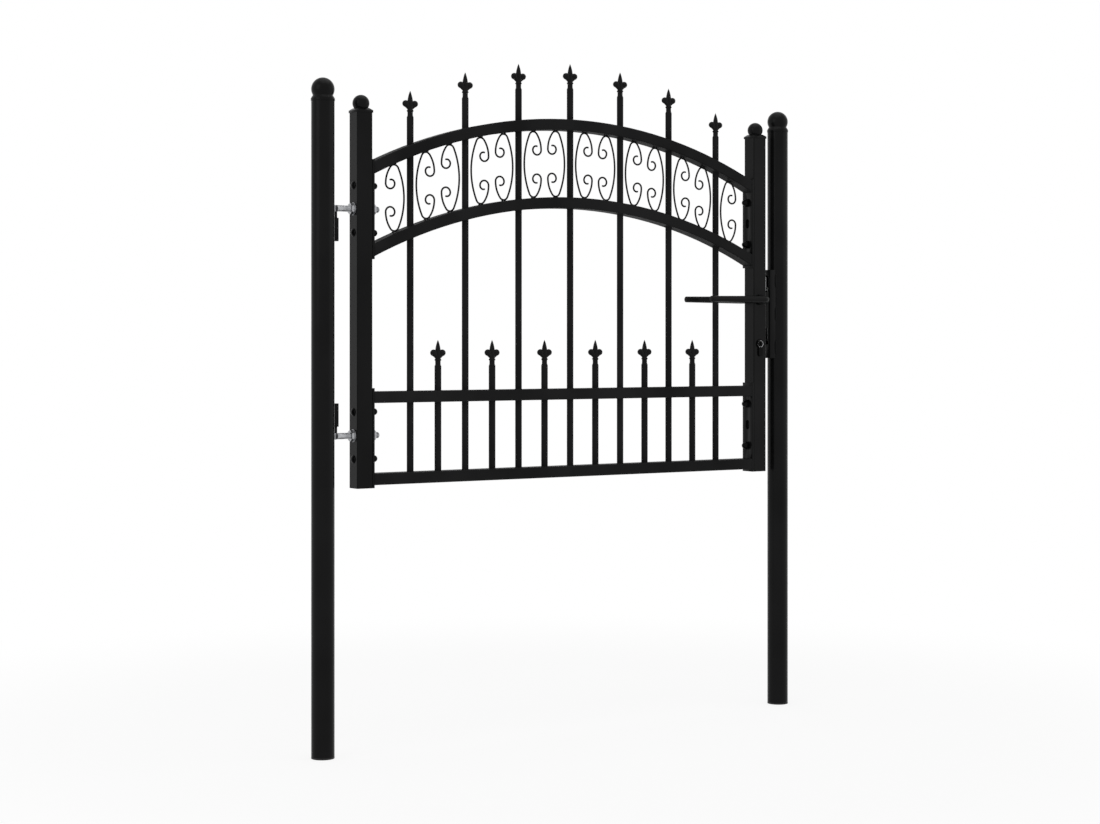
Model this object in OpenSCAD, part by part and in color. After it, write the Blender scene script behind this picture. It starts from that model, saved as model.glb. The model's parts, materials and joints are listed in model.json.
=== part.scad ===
// Arched steel garden gate: one leaf hung between two round posts.
// Millimetres, +Z up. The origin is the centre of the hinge post's foot, +X runs to the latch post
// and +Y points away from the front.

/* [Leaf frame] */
// Width of the leaf over its two stiles
leaf_w = 900; // [800:5:1100]
// Height of the leaf's lower edge above the feet of the posts
leaf_lift = 459; // [300:1:600]
// Width and depth of the square stile tube
stile_w = 30; // [28:1:40]
// Wall of the stile tube
stile_wall = 2; // [1.5:0.5:3]
// Length of the stile tube
stile_h = 649; // [640:1:720]
// Height of the rail and arch tubes
rail_w = 20; // [18:1:24]
// Depth of the rail and arch tubes from front to back
rail_depth = 30; // [20:1:30]
// Wall of the rail and arch tubes
rail_wall = 1.5; // [1:0.25:2.5]
// Outer corner radius of the stile, rail and arch tubes
tube_corner_r = 2; // [0.5:0.5:3]
// Underside of the bottom rail above the leaf's lower edge
bottom_rail_rise = 5; // [2:1:12]
// Underside of the middle rail above the leaf's lower edge
middle_rail_rise = 147; // [120:1:150]

/* [Arches] */
// Outer radius of both arch tubes
arch_r = 958; // [900:1:1200]
// Crown of the upper arch above the leaf's lower edge
upper_arch_rise = 661; // [650:1:680]
// Height from the lower arch up to the upper arch
arch_spacing = 143; // [138:1:150]

/* [Pickets] */
// Diameter of the round pickets
picket_d = 12; // [10:0.5:14]
// Wall of the picket tube
picket_wall = 1.2; // [0.8:0.1:2]
// Distance between the axes of neighbouring tall pickets
picket_pitch = 112.5; // [105:0.5:118]
// Tip of the middle spearhead above the leaf's lower edge
tall_tip_rise = 765; // [750:1:800]
// Radius of the arc on which the tips of the tall spearheads lie
tall_tip_arc_r = 840; // [700:5:1200]
// Tips of the short spearheads above the leaf's lower edge
short_tip_rise = 257; // [245:1:290]

/* [Spearheads] */
// Height of a spearhead above its picket
spear_h = 47; // [42:0.5:52]
// Diameter of the neck
spear_neck_d = 9.6; // [8:0.2:10]
// Height of the neck, up to the middle of the bead
spear_neck_h = 11; // [9:0.5:13]
// Diameter over the bead
spear_bead_d = 12.4; // [11:0.2:13.4]
// Thickness of the bead
spear_bead_t = 2.6; // [2:0.2:3]
// Width over the two side lobes
spear_lobe_span = 30; // [27:0.5:34]
// Diameter of a side lobe
spear_lobe_d = 12; // [10:0.5:13]
// Middle of the lobes above the picket
spear_lobe_rise = 23.5; // [22:0.5:26]
// Diameter of the blade at its foot
spear_blade_d = 10.6; // [8:0.2:11]

/* [Scrolls] */
// Thickness of the round scroll wire
scroll_wire_d = 3.25; // [2:0.25:4]
// Width of a scroll between the middles of its wire
scroll_w = 36.5; // [34:0.5:40]
// Radius of the bend where a scroll meets the arch
scroll_top_r = 9; // [7:0.5:11]
// Distance from the back of a scroll to the middle of that bend
scroll_top_inset = 19.6; // [17:0.2:22]
// Drop from that bend to the middle of the curl
scroll_curl_drop = 24; // [20:0.5:28]
// Radius of the outer turn of the curl
scroll_curl_r = 9; // [7:0.5:10]
// Radius of the inner turn of the curl
scroll_end_r = 7; // [5:0.5:7]
// Distance from a picket's axis to the back of the scroll beside it
scroll_stand_off = 12.4; // [11:0.1:14]

/* [Posts] */
// Diameter of the posts
post_d = 40; // [36:1:48]
// Wall of the post tube
post_wall = 2; // [1.5:0.5:3]
// Height of a post to the underside of its cap
post_h = 1124; // [1000:1:1400]
// Thickness of the plug that closes a post's foot
post_plug_t = 3; // [2:0.5:6]
// Gap between the hinge post and the leaf
hinge_gap = 38.5; // [37:0.5:50]
// Gap between the leaf and the latch post
latch_gap = 21.5; // [20:0.5:30]

/* [Ball caps] */
// Diameter of the ball on a post
post_ball_d = 40; // [36:1:44]
// Overhang of a cap's rim around its tube
cap_overhang = 0.7; // [0.3:0.1:1.5]
// Height of the upright rim of a cap
cap_rim_h = 4; // [3:0.5:6]
// Height of the sloped shoulder above the rim of a post cap
post_cap_shoulder_h = 7; // [5:0.5:8]
// Height of the sloped shoulder above the rim of a stile cap
stile_cap_shoulder_h = 4; // [3:0.5:5]
// Diameter of the ball on a stile
stile_ball_d = 29.5; // [26:0.5:32]

/* [End plates] */
// Height of an end plate
plate_h = 173; // [168:1:180]
// Thickness of an end plate
plate_t = 4; // [3:0.5:6]
// Middle of the upper bolt group above the leaf's lower edge
upper_group_rise = 482.5; // [480:0.5:486]
// Middle of the lower bolt group above the leaf's lower edge
lower_group_rise = 91; // [86:0.5:94]
// Distance between the two bolts of a plate
plate_bolt_spacing = 81.5; // [76:0.5:86]
// Diameter of the plate bolts
plate_bolt_d = 8; // [6:0.5:10]
// Diameter of the bolts' domed heads
plate_bolt_head_d = 15; // [13:0.5:18]
// Height of the bolts' domed heads
plate_bolt_head_h = 4; // [3:0.5:6]
// Width across the flats of the cap nuts on those bolts
cap_nut_af = 13; // [12:0.5:16]
// Height of a cap nut
cap_nut_h = 12.5; // [11:0.5:16]
// Height of a cap nut's hexagon
cap_nut_hex_h = 6; // [4:0.5:8]
// Diameter of a cap nut's dome
cap_nut_dome_d = 12; // [10:0.5:12.5]
// Height of the slot in the middle of a plate
plate_slot_h = 18; // [17:0.5:24]
// Width of the slot in the middle of a plate
plate_slot_w = 11.6; // [11.6:0.1:14]

/* [Hinges] */
// Diameter of the eye bolts
eye_bolt_d = 11; // [9:0.5:11]
// Diameter of the hinge pins
pin_d = 8; // [7:0.5:10]
// Wall of the eye around the pin
eye_wall = 3.2; // [3:0.1:4]
// Height of the eye
eye_h = 11; // [9:0.5:14]
// How far an eye bolt's threaded end stands out past the inner end plate
eye_bolt_end = 15; // [13:0.5:20]
// Running clearance between a pin and its eye, on the radius
pin_clear = 0.05; // [0.02:0.01:0.08]
// Diameter of the round bar welded to the post under a pin
pintle_d = 16; // [14:0.5:17]
// Length of that bar
pintle_h = 40; // [30:1:60]
// Thickness of the web that joins that bar to the post
pintle_web_t = 7; // [5:0.5:9]
// Distance from an eye bolt's axis to the end of that bar
pintle_stand_off = 16; // [13:0.5:24]
// Diameter of the collar that the eye turns on
pintle_collar_d = 11; // [10:0.5:13]
// Width across the flats of the hinge nuts
nut_af = 18; // [17:0.5:20]
// Thickness of the hinge nuts
nut_t = 6; // [5:0.5:9]
// Diameter of the washers under the hinge nuts
washer_d = 22; // [20:0.5:26]
// Thickness of those washers
washer_t = 1.2; // [1:0.1:2.5]

/* [Lock] */
// Height of the lever's spindle above the leaf's lower edge
spindle_rise = 334.5; // [326:0.5:340]
// Distance from the spindle down to the key cylinder's middle
cylinder_drop = 86; // [80:0.5:92]
// Diameter of the spindle
spindle_d = 9; // [8:0.5:10]
// Diameter of the lever's neck and bend
lever_d = 14; // [12:0.5:15]
// Diameter of the lever's bar at its tip
lever_tip_d = 11.4; // [9:0.2:12]
// Width of the bevel around the lever's tip
lever_tip_bevel = 0.8; // [0.4:0.1:1.5]
// Reach of the lever from the spindle to its tip
lever_reach = 139; // [110:1:150]
// Distance from the leaf's middle plane to the lever's bar
lever_stand_off = 40; // [36:1:55]
// Radius of the lever's bend
lever_bend_r = 11; // [9:0.5:14]
// Diameter of the collar at the foot of the lever
lever_collar_d = 20; // [17:0.5:22]
// Thickness of that collar
lever_collar_t = 5; // [2:0.5:6]
// Diameter of the round part of the key cylinder
cylinder_d = 17; // [15:0.5:19]
// Width of the cylinder's lower web
cylinder_web_w = 10; // [8:0.5:11]
// Height of the whole key cylinder
cylinder_h = 33; // [30:0.5:36]
// How far the cylinder stands proud of each face of the stile
cylinder_proud = 3; // [1:0.5:6]
// Height of the lock's front plate
forend_h = 173; // [168:1:180]
// Width of the lock's front plate
forend_w = 22; // [20:0.5:25]
// Thickness of the lock's front plate
forend_t = 2.5; // [2:0.5:4]
// Thickness of the lock's case inside the stile
lock_case_w = 16; // [14:0.5:18]
// Distance from an end of the front plate to the lock's case
lock_case_inset = 10; // [8:0.5:14]
// Height of the latch bolt
latch_bolt_h = 27; // [22:0.5:30]
// Thickness of the latch bolt
latch_bolt_t = 10; // [8:0.5:12]
// Gap between the latch bolt's nose and the strike channel
latch_nose_gap = 1.5; // [1:0.1:3]
// Middle of the latch bolt above the spindle
latch_bolt_rise = 31.5; // [28:0.5:34]

/* [Strike] */
// Height of the strike channel
strike_h = 173; // [168:1:190]
// Width of the strike channel over its two flanges
strike_w = 26.5; // [24:0.5:30]
// Thickness of the strike channel's sheet
strike_t = 2.5; // [2:0.5:4]
// Gap between the stile and the face of the strike channel
strike_gap = 11.8; // [11:0.1:14]
// Middle of the strike channel below the spindle
strike_drop = 27.5; // [24:0.5:34]
// Clearance around a bolt in its slot in the strike channel
strike_slot_clear = 2; // [1:0.5:3]
// Middle of the dead bolt's slot below the spindle
dead_slot_drop = 71.5; // [64:0.5:84]

/* [Hidden] */
$fn = 48;
wire_fn = 20;
arch_fn = 720;
ogive_steps = 6;
// Number of tall pickets, with a short one between each two
picket_count = 7;
// How far a cut reaches past the face that it opens
overrun = 1;
// Gap left between pieces that are welded or pushed together
seat_gap = 0.1;
// Radial clearance of bolts and spigots in their holes
hole_clear = 0.2;
// Gap between pieces that slide or turn past each other
slide_gap = 0.3;
// How far a cap's or plug's spigot reaches into its tube
spigot_h = 14;
// Share of the post cap's rim that is left at the top of its shoulder
post_shoulder_share = 0.8;
// Share of the stile cap's rim that is left at the top of its shoulder
stile_shoulder_share = 0.68;
// Share of the ball's diameter that shows above the shoulder of a post cap
post_ball_show_share = 0.735;
// Share of the ball's diameter that shows above the shoulder of a stile cap
stile_ball_show_share = 0.79;
// Share of a lobe's diameter that its root has where it meets the lobe
lobe_root_share = 0.88;
// Diameter of the bead between two arcs of scroll wire, as a share of the wire's
wire_bead_share = 1.05;
// Direction from the curl's middle in which a scroll's wire ends
curl_end_a = 75;
// Length by which each arc of scroll wire stops inside the bead, as a share of the wire's diameter
wire_trim_share = 0.06;

leaf_x0 = post_d / 2 + hinge_gap;
leaf_x1 = leaf_x0 + leaf_w;
hinge_stile_x = leaf_x0 + stile_w / 2;
latch_stile_x = leaf_x1 - stile_w / 2;
leaf_mid_x = (leaf_x0 + leaf_x1) / 2;
latch_post_x = leaf_x1 + latch_gap + post_d / 2;
panel_x0 = leaf_x0 + stile_w;
panel_x1 = leaf_x1 - stile_w;
rail_x0 = panel_x0 + plate_t;
rail_x1 = panel_x1 - plate_t;
bottom_rail_z = leaf_lift + bottom_rail_rise;
middle_rail_z = leaf_lift + middle_rail_rise;
upper_arch_z = leaf_lift + upper_arch_rise - arch_r;
lower_arch_z = upper_arch_z - arch_spacing;
upper_group_z = leaf_lift + upper_group_rise;
lower_group_z = leaf_lift + lower_group_rise;
upper_plate_z = upper_group_z - plate_h / 2;
lower_plate_z = leaf_lift;
stile_in = stile_w - 2 * stile_wall;

eye_r = pin_d / 2 + pin_clear + eye_wall;
// The eye is rolled to the back of its bolt, so the bolt runs into it along the side of the pin
axis_y = (pin_d + eye_bolt_d) / 2;
axis_distance = post_d / 2 + eye_r + 2 * slide_gap;
axis_x = sqrt(axis_distance * axis_distance - axis_y * axis_y);
axis_angle = atan2(axis_y, axis_x);

spindle_z = leaf_lift + spindle_rise;
cylinder_z = spindle_z - cylinder_drop;
cylinder_web_drop = cylinder_h - cylinder_d / 2 - cylinder_web_w / 2;
latch_bolt_z = spindle_z + latch_bolt_rise;
strike_z = spindle_z - strike_drop - strike_h / 2;
strike_x = leaf_x1 + strike_gap;
latch_throw = strike_gap - forend_t - latch_nose_gap;
forend_z = strike_z + (strike_h - forend_h) / 2;
lock_case_depth = stile_in - 2 * slide_gap;
lock_case_z = forend_z + lock_case_inset;
lock_case_h = forend_h - 2 * lock_case_inset;

black = [0.10, 0.10, 0.105];
zinc = [0.72, 0.73, 0.75];
steel = [0.55, 0.55, 0.56];

// Places

function tall_x(i) = leaf_mid_x + (i - (picket_count + 1) / 2) * picket_pitch;
function short_x(i) = (tall_x(i) + tall_x(i + 1)) / 2;
// Height of a circle's crown side at a distance from the leaf's middle
function on_arc(centre_z, r, x) = centre_z + sqrt(r * r - (x - leaf_mid_x) * (x - leaf_mid_x));
function tall_tip_z(i) = on_arc(leaf_lift + tall_tip_rise - tall_tip_arc_r, tall_tip_arc_r, tall_x(i));
function tall_top_z(i) = tall_tip_z(i) - spear_h;
short_top_z = leaf_lift + short_tip_rise - spear_h;
group_zs = [lower_group_z, upper_group_z];
plate_bolt_zs = [for (z = group_zs) for (side = [-1, 1]) z + side * plate_bolt_spacing / 2];

// Shared shapes

module along_x(x, z) translate([x, 0, z]) rotate([0, 90, 0]) children();

module along_y(x, y, z) translate([x, y, z]) rotate([-90, 0, 0]) children();

// Rectangle with rounded corners, centred
module rounded_rectangle(w, d, r) {
    square([w, d - 2 * r], center = true);
    square([w - 2 * r, d], center = true);
    for (sx = [-1, 1], sy = [-1, 1])
        translate([sx * (w / 2 - r), sy * (d / 2 - r)]) circle(r);
}

// Wall section of a rectangular tube
module tube_section(w, d, wall) {
    difference() {
        rounded_rectangle(w, d, tube_corner_r);
        square([w - 2 * wall, d - 2 * wall], center = true);
    }
}

// Holes for the tall pickets, and for the short ones where a rail takes both
module picket_holes(z, h, with_short) {
    places = concat([for (i = [1:picket_count]) tall_x(i)],
                    with_short ? [for (i = [1:picket_count - 1]) short_x(i)] : []);
    for (x = places)
        translate([x, 0, z]) cylinder(d = picket_d + 2 * seat_gap, h = h);
}

// Posts

module post(x) {
    translate([x, 0, post_plug_t]) difference() {
        cylinder(d = post_d, h = post_h - post_plug_t);
        translate([0, 0, -overrun])
            cylinder(d = post_d - 2 * post_wall, h = post_h - post_plug_t + 2 * overrun);
    }
}

module post_plug(x) {
    translate([x, 0, 0]) {
        cylinder(d = post_d, h = post_plug_t);
        cylinder(d = post_d - 2 * post_wall - 2 * hole_clear, h = post_plug_t + spigot_h);
    }
}

// Turned cap: spigot, rim, sloped shoulder and ball
module post_cap(x) {
    rim_d = post_d + 2 * cap_overhang;
    shoulder_z = cap_rim_h + post_cap_shoulder_h;
    translate([x, 0, post_h]) {
        translate([0, 0, -spigot_h])
            cylinder(d = post_d - 2 * post_wall - 2 * hole_clear, h = spigot_h + cap_rim_h);
        cylinder(d = rim_d, h = cap_rim_h);
        translate([0, 0, cap_rim_h])
            cylinder(d1 = rim_d, d2 = rim_d * post_shoulder_share, h = post_cap_shoulder_h);
        translate([0, 0, shoulder_z + post_ball_d * (post_ball_show_share - 1 / 2)]) sphere(d = post_ball_d);
    }
}

module hinge_post() color(black) post(0);
module hinge_post_cap() color(black) post_cap(0);
module hinge_post_plug() color(black) post_plug(0);
module latch_post() color(black) post(latch_post_x);
module latch_post_cap() color(black) post_cap(latch_post_x);
module latch_post_plug() color(black) post_plug(latch_post_x);

// Hinge pin on a round bar that is welded along the post.
// side is 1 for a pin that points up and -1 for one that points down
module pintle(z, side) {
    collar_h = pintle_stand_off - eye_h / 2 - slide_gap;
    pin_h = eye_h + 3 * slide_gap;
    translate([0, 0, z]) mirror([0, 0, side > 0 ? 0 : 1]) translate([0, 0, -pintle_stand_off]) {
        mirror([0, 0, 1]) linear_extrude(pintle_h) difference() {
            union() {
                translate([axis_x, axis_y]) circle(d = pintle_d);
                rotate(axis_angle) translate([0, -pintle_web_t / 2]) square([axis_distance, pintle_web_t]);
            }
            circle(d = post_d + 2 * seat_gap);
        }
        translate([axis_x, axis_y, 0]) {
            cylinder(d = pintle_collar_d, h = collar_h);
            translate([0, 0, collar_h]) cylinder(d = pin_d, h = pin_h);
        }
    }
}

module upper_pintle() color(black) pintle(upper_group_z, 1);
module lower_pintle() color(black) pintle(lower_group_z, -1);

// Folded channel on the latch post, with slots for the latch and the dead bolt
module strike_channel() {
    slot_w = latch_bolt_t + 2 * strike_slot_clear;
    slot_h = latch_bolt_h + 2 * strike_slot_clear;
    color(black) difference() {
        translate([strike_x, -strike_w / 2, strike_z])
            cube([latch_post_x - strike_x, strike_w, strike_h]);
        translate([strike_x + strike_t, -strike_w / 2 + strike_t, strike_z - overrun])
            cube([latch_post_x - strike_x, strike_w - 2 * strike_t, strike_h + 2 * overrun]);
        translate([latch_post_x, 0, strike_z - overrun])
            cylinder(d = post_d + 2 * seat_gap, h = strike_h + 2 * overrun);
        for (z = [latch_bolt_z, spindle_z - dead_slot_drop])
            translate([strike_x - overrun, -slot_w / 2, z - slot_h / 2])
                cube([strike_t + 2 * overrun, slot_w, slot_h]);
    }
}

// Leaf frame

module stile(x) {
    translate([x, 0, leaf_lift]) linear_extrude(stile_h) tube_section(stile_w, stile_w, stile_wall);
}

// Square cap: spigot, rim, four sloped sides and ball
module stile_cap(x) {
    rim_w = stile_w + 2 * cap_overhang;
    top_w = rim_w * stile_shoulder_share;
    shoulder_z = cap_rim_h + stile_cap_shoulder_h;
    spigot_w = stile_in - 2 * hole_clear;
    outline = [[-rim_w / 2, 0], [rim_w / 2, 0], [rim_w / 2, cap_rim_h], [top_w / 2, shoulder_z],
               [-top_w / 2, shoulder_z], [-rim_w / 2, cap_rim_h]];
    translate([x, 0, leaf_lift + stile_h]) {
        translate([-spigot_w / 2, -spigot_w / 2, -spigot_h]) cube([spigot_w, spigot_w, spigot_h]);
        intersection() {
            rotate([90, 0, 0]) linear_extrude(rim_w, center = true) polygon(outline);
            rotate([90, 0, 90]) linear_extrude(rim_w, center = true) polygon(outline);
        }
        translate([0, 0, shoulder_z + stile_ball_d * (stile_ball_show_share - 1 / 2)])
            sphere(d = stile_ball_d);
    }
}

// Clearance holes through a stile for its plate bolts
module plate_bolt_holes(x, w) {
    for (z = plate_bolt_zs)
        along_x(x - w / 2 - overrun, z)
            cylinder(d = plate_bolt_d + 2 * hole_clear, h = w + 2 * overrun);
}

module hinge_stile() {
    color(black) difference() {
        stile(hinge_stile_x);
        plate_bolt_holes(hinge_stile_x, stile_w);
        for (z = group_zs)
            along_x(leaf_x0 - overrun, z)
                cylinder(d = eye_bolt_d + 2 * hole_clear, h = stile_w + 2 * overrun);
    }
}

module latch_stile() {
    case_cut_w = lock_case_w + 2 * hole_clear;
    color(black) difference() {
        stile(latch_stile_x);
        plate_bolt_holes(latch_stile_x, stile_w);
        along_y(latch_stile_x, -stile_w, spindle_z)
            cylinder(d = spindle_d + 2 * pin_clear, h = 2 * stile_w);
        key_cylinder_body(stile_w, hole_clear);
        translate([latch_stile_x, -case_cut_w / 2, lock_case_z - hole_clear])
            cube([stile_w, case_cut_w, lock_case_h + 2 * hole_clear]);
    }
}

module hinge_stile_cap() color(black) stile_cap(hinge_stile_x);
module latch_stile_cap() color(black) stile_cap(latch_stile_x);

// Straight rail between the end plates
module rail(z) {
    difference() {
        translate([rail_x0, 0, z + rail_w / 2]) rotate([90, 0, 90])
            linear_extrude(rail_x1 - rail_x0) tube_section(rail_depth, rail_w, rail_wall);
        picket_holes(z - overrun, rail_w + 2 * overrun, true);
    }
}

module bottom_rail() color(black) rail(bottom_rail_z);
module middle_rail() color(black) rail(middle_rail_z);

// Tube bent to an arc, cut off upright at the end plates
module arch(centre_z) {
    mid_r = arch_r - rail_w / 2;
    half_w = (rail_x1 - rail_x0) / 2;
    half_angle = asin((half_w + rail_w) / mid_r);
    drop = arch_r - sqrt(arch_r * arch_r - half_w * half_w) + 2 * rail_w;
    difference() {
        intersection() {
            translate([leaf_mid_x, 0, centre_z]) rotate([90, 0, 0]) rotate([0, 0, 90 - half_angle])
                rotate_extrude(angle = 2 * half_angle, $fn = arch_fn)
                    translate([mid_r, 0]) tube_section(rail_w, rail_depth, rail_wall);
            translate([rail_x0, -rail_depth, centre_z + arch_r - drop])
                cube([rail_x1 - rail_x0, 2 * rail_depth, drop + overrun]);
        }
        picket_holes(centre_z + arch_r - drop, drop + overrun, false);
    }
}

module lower_arch() color(black) arch(lower_arch_z);
module upper_arch() color(black) arch(upper_arch_z);

// Flat end plate, drilled for two bolts and slotted for an eye bolt
module end_plate(x, z, group_z) {
    slot_leg = plate_slot_h - plate_slot_w;
    difference() {
        translate([x, -stile_w / 2, z]) cube([plate_t, stile_w, plate_h]);
        plate_bolt_holes(x + plate_t / 2, plate_t);
        for (side = [-1, 1])
            along_x(x - overrun, group_z + side * slot_leg / 2)
                cylinder(d = plate_slot_w, h = plate_t + 2 * overrun);
        translate([x - overrun, -plate_slot_w / 2, group_z - slot_leg / 2])
            cube([plate_t + 2 * overrun, plate_slot_w, slot_leg]);
    }
}

module upper_hinge_plate() color(black) end_plate(panel_x0, upper_plate_z, upper_group_z);
module lower_hinge_plate() color(black) end_plate(panel_x0, lower_plate_z, lower_group_z);
module upper_latch_plate() color(black) end_plate(rail_x1, upper_plate_z, upper_group_z);
module lower_latch_plate() color(black) end_plate(rail_x1, lower_plate_z, lower_group_z);

// Pickets and spearheads

module picket(x, top_z) {
    translate([x, 0, bottom_rail_z]) difference() {
        cylinder(d = picket_d, h = top_z - bottom_rail_z);
        translate([0, 0, -overrun])
            cylinder(d = picket_d - 2 * picket_wall, h = top_z - bottom_rail_z + 2 * overrun);
    }
}

module tall_picket(i) color(black) picket(tall_x(i), tall_top_z(i));
module short_picket(i) color(black) picket(short_x(i), short_top_z);

// Half section of a spearhead's turned part: tapered foot, neck, bead and ogive blade
module spear_section() {
    neck_r = spear_neck_d / 2;
    bead_r = spear_bead_t / 2;
    foot_h = (spear_neck_h - spear_bead_t) / 3;
    blade_z = spear_lobe_rise - spear_lobe_d / 4;
    blade_r = spear_blade_d / 2;
    blade_h = spear_h - blade_z;
    ogive_r = (blade_h * blade_h + blade_r * blade_r) / (2 * blade_r);
    ogive = [for (k = [0:ogive_steps])
        let (z = blade_h * k / ogive_steps, r = sqrt(ogive_r * ogive_r - z * z) + blade_r - ogive_r)
            [r, blade_z + z]];
    polygon(concat([[0, 0], [picket_d / 2, 0], [neck_r, foot_h], [neck_r, blade_z]],
                   [for (k = [0:ogive_steps - 1]) ogive[k]], [[0, spear_h]]));
    translate([spear_bead_d / 2 - bead_r, spear_neck_h]) circle(bead_r, $fn = wire_fn);
}

// Half section of a side lobe: a ball on a root that widens towards it
module lobe_section(reach) {
    lobe_r = spear_lobe_d / 2;
    intersection() {
        union() {
            translate([0, reach]) circle(lobe_r);
            polygon([[0, 0], [spear_neck_d / 4, 0], [lobe_r * lobe_root_share, reach], [0, reach]]);
        }
        square([lobe_r + overrun, reach + lobe_r + overrun]);
    }
}

// Cast head: turned middle with two side lobes in the leaf's plane
module spearhead() {
    lobe_x = (spear_lobe_span - spear_lobe_d) / 2;
    lobe_foot_z = spear_neck_h + spear_bead_t / 2;
    lobe_rise = spear_lobe_rise - lobe_foot_z;
    rotate_extrude() spear_section();
    for (side = [0, 180])
        rotate([0, 0, side]) translate([0, 0, lobe_foot_z]) rotate([0, atan2(lobe_x, lobe_rise), 0])
            rotate_extrude() lobe_section(sqrt(lobe_x * lobe_x + lobe_rise * lobe_rise));
}

module tall_spearheads()
    color(black) for (i = [1:picket_count]) translate([tall_x(i), 0, tall_top_z(i)]) spearhead();

module short_spearheads()
    color(black) for (i = [1:picket_count - 1]) translate([short_x(i), 0, short_top_z]) spearhead();

// Scrollwork

// Round wire along an arc in the leaf's plane, stopping just short of both ends
module wire_arc(x, z, r, from_a, to_a) {
    trim_a = asin(scroll_wire_d * wire_trim_share / r);
    translate([x, 0, z]) rotate([90, 0, 0]) rotate([0, 0, from_a + trim_a])
        rotate_extrude(angle = to_a - from_a - 2 * trim_a)
            translate([r, 0]) circle(d = scroll_wire_d, $fn = wire_fn);
}

// Bead that joins two arcs of wire, or rounds off an end
module wire_bead(x, z, r, a) {
    translate([x + r * cos(a), 0, z + r * sin(a)])
        sphere(d = scroll_wire_d * wire_bead_share, $fn = wire_fn);
}

// C-scroll of tangent arcs, seated between the two arches. Its back is at x and it opens towards side
module scroll(x, side) {
    touch_r = scroll_top_r + scroll_wire_d * wire_bead_share / 2 + seat_gap;
    top_x = x + side * scroll_top_inset;
    top_z = on_arc(upper_arch_z, arch_r - rail_w - touch_r, top_x);
    foot_z = on_arc(lower_arch_z, arch_r + touch_r, top_x);
    half = (top_z - foot_z) / 2;
    back_a = 2 * atan((scroll_top_inset - scroll_top_r) / half);
    back_r = half / sin(back_a) + scroll_top_r;
    front_a = 2 * atan((scroll_w - scroll_top_r - scroll_top_inset) / scroll_curl_drop);
    front_shift = scroll_curl_drop / sin(front_a);
    front_x = scroll_top_inset - front_shift * cos(front_a);
    curl_x = scroll_w - scroll_curl_r;
    end_x = scroll_w - 2 * scroll_curl_r + scroll_end_r;
    curl_z = half - scroll_curl_drop;
    translate([x, 0, foot_z + half]) mirror([side > 0 ? 0 : 1, 0, 0]) {
        wire_arc(back_r, 0, back_r, 180 - back_a, 180 + back_a);
        for (half_side = [0, 1]) mirror([0, 0, half_side]) {
            wire_bead(scroll_top_inset, half, scroll_top_r, 180 - back_a);
            wire_arc(scroll_top_inset, half, scroll_top_r, front_a, 180 - back_a);
            wire_bead(scroll_top_inset, half, scroll_top_r, front_a);
            wire_arc(front_x, curl_z, front_shift + scroll_top_r, 0, front_a);
            wire_bead(curl_x, curl_z, scroll_curl_r, 0);
            wire_arc(curl_x, curl_z, scroll_curl_r, -180, 0);
            wire_bead(curl_x, curl_z, scroll_curl_r, 180);
            wire_arc(end_x, curl_z, scroll_end_r, curl_end_a, 180);
            wire_bead(end_x, curl_z, scroll_end_r, curl_end_a);
        }
    }
}

module scrollwork() {
    color(black) for (i = [1:picket_count]) {
        scroll(tall_x(i) - scroll_stand_off, -1);
        scroll(tall_x(i) + scroll_stand_off, 1);
    }
}

// Fasteners

// Low dome of a given foot diameter and height, on the plane z = 0
module dome(d, h) {
    ball_r = (d * d / 4 + h * h) / (2 * h);
    intersection() {
        translate([0, 0, h - ball_r]) sphere(ball_r);
        cylinder(d = d, h = h);
    }
}

// Hexagon nut with a domed end, on the plane z = 0
module cap_nut() {
    ball_z = cap_nut_h - cap_nut_dome_d / 2;
    cylinder(d = cap_nut_af / cos(30), h = cap_nut_hex_h, $fn = 6);
    cylinder(d = cap_nut_dome_d, h = ball_z);
    translate([0, 0, ball_z]) sphere(d = cap_nut_dome_d);
}

// Bolt from the outer face of a stile through to a cap nut on the inner face of the end plate
module panel_bolt(x, z, side) {
    grip = stile_w + plate_t;
    translate([x, 0, z]) mirror([side > 0 ? 0 : 1, 0, 0]) rotate([0, 90, 0]) {
        cylinder(d = plate_bolt_d, h = grip);
        mirror([0, 0, 1]) dome(plate_bolt_head_d, plate_bolt_head_h);
        translate([0, 0, grip]) cap_nut();
    }
}

module panel_bolts() {
    color(black) for (z = plate_bolt_zs) {
        panel_bolt(leaf_x0, z, 1);
        panel_bolt(leaf_x1, z, -1);
    }
}

// Threaded bolt whose end is rolled into an eye around the hinge pin
module eye_bolt(z) {
    difference() {
        union() {
            along_x(axis_x, z) cylinder(d = eye_bolt_d, h = rail_x0 + eye_bolt_end - axis_x);
            translate([axis_x, axis_y, z - eye_h / 2]) cylinder(r = eye_r, h = eye_h);
        }
        translate([axis_x, axis_y, z - eye_h / 2 - overrun])
            cylinder(r = pin_d / 2 + pin_clear, h = eye_h + 2 * overrun);
    }
}

module upper_eye_bolt() color(zinc) eye_bolt(upper_group_z);
module lower_eye_bolt() color(zinc) eye_bolt(lower_group_z);

// Hexagon nut on its washer, facing away from the plane z = 0
module hinge_nut() {
    difference() {
        union() {
            cylinder(d = washer_d, h = washer_t);
            translate([0, 0, washer_t]) cylinder(d = nut_af / cos(30), h = nut_t, $fn = 6);
        }
        translate([0, 0, -overrun])
            cylinder(d = eye_bolt_d + 2 * seat_gap, h = nut_t + washer_t + 2 * overrun);
    }
}

module hinge_nuts() {
    color(zinc) for (z = group_zs) {
        along_x(leaf_x0, z) mirror([0, 0, 1]) hinge_nut();
        along_x(rail_x0, z) hinge_nut();
    }
}

// Lock

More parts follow.
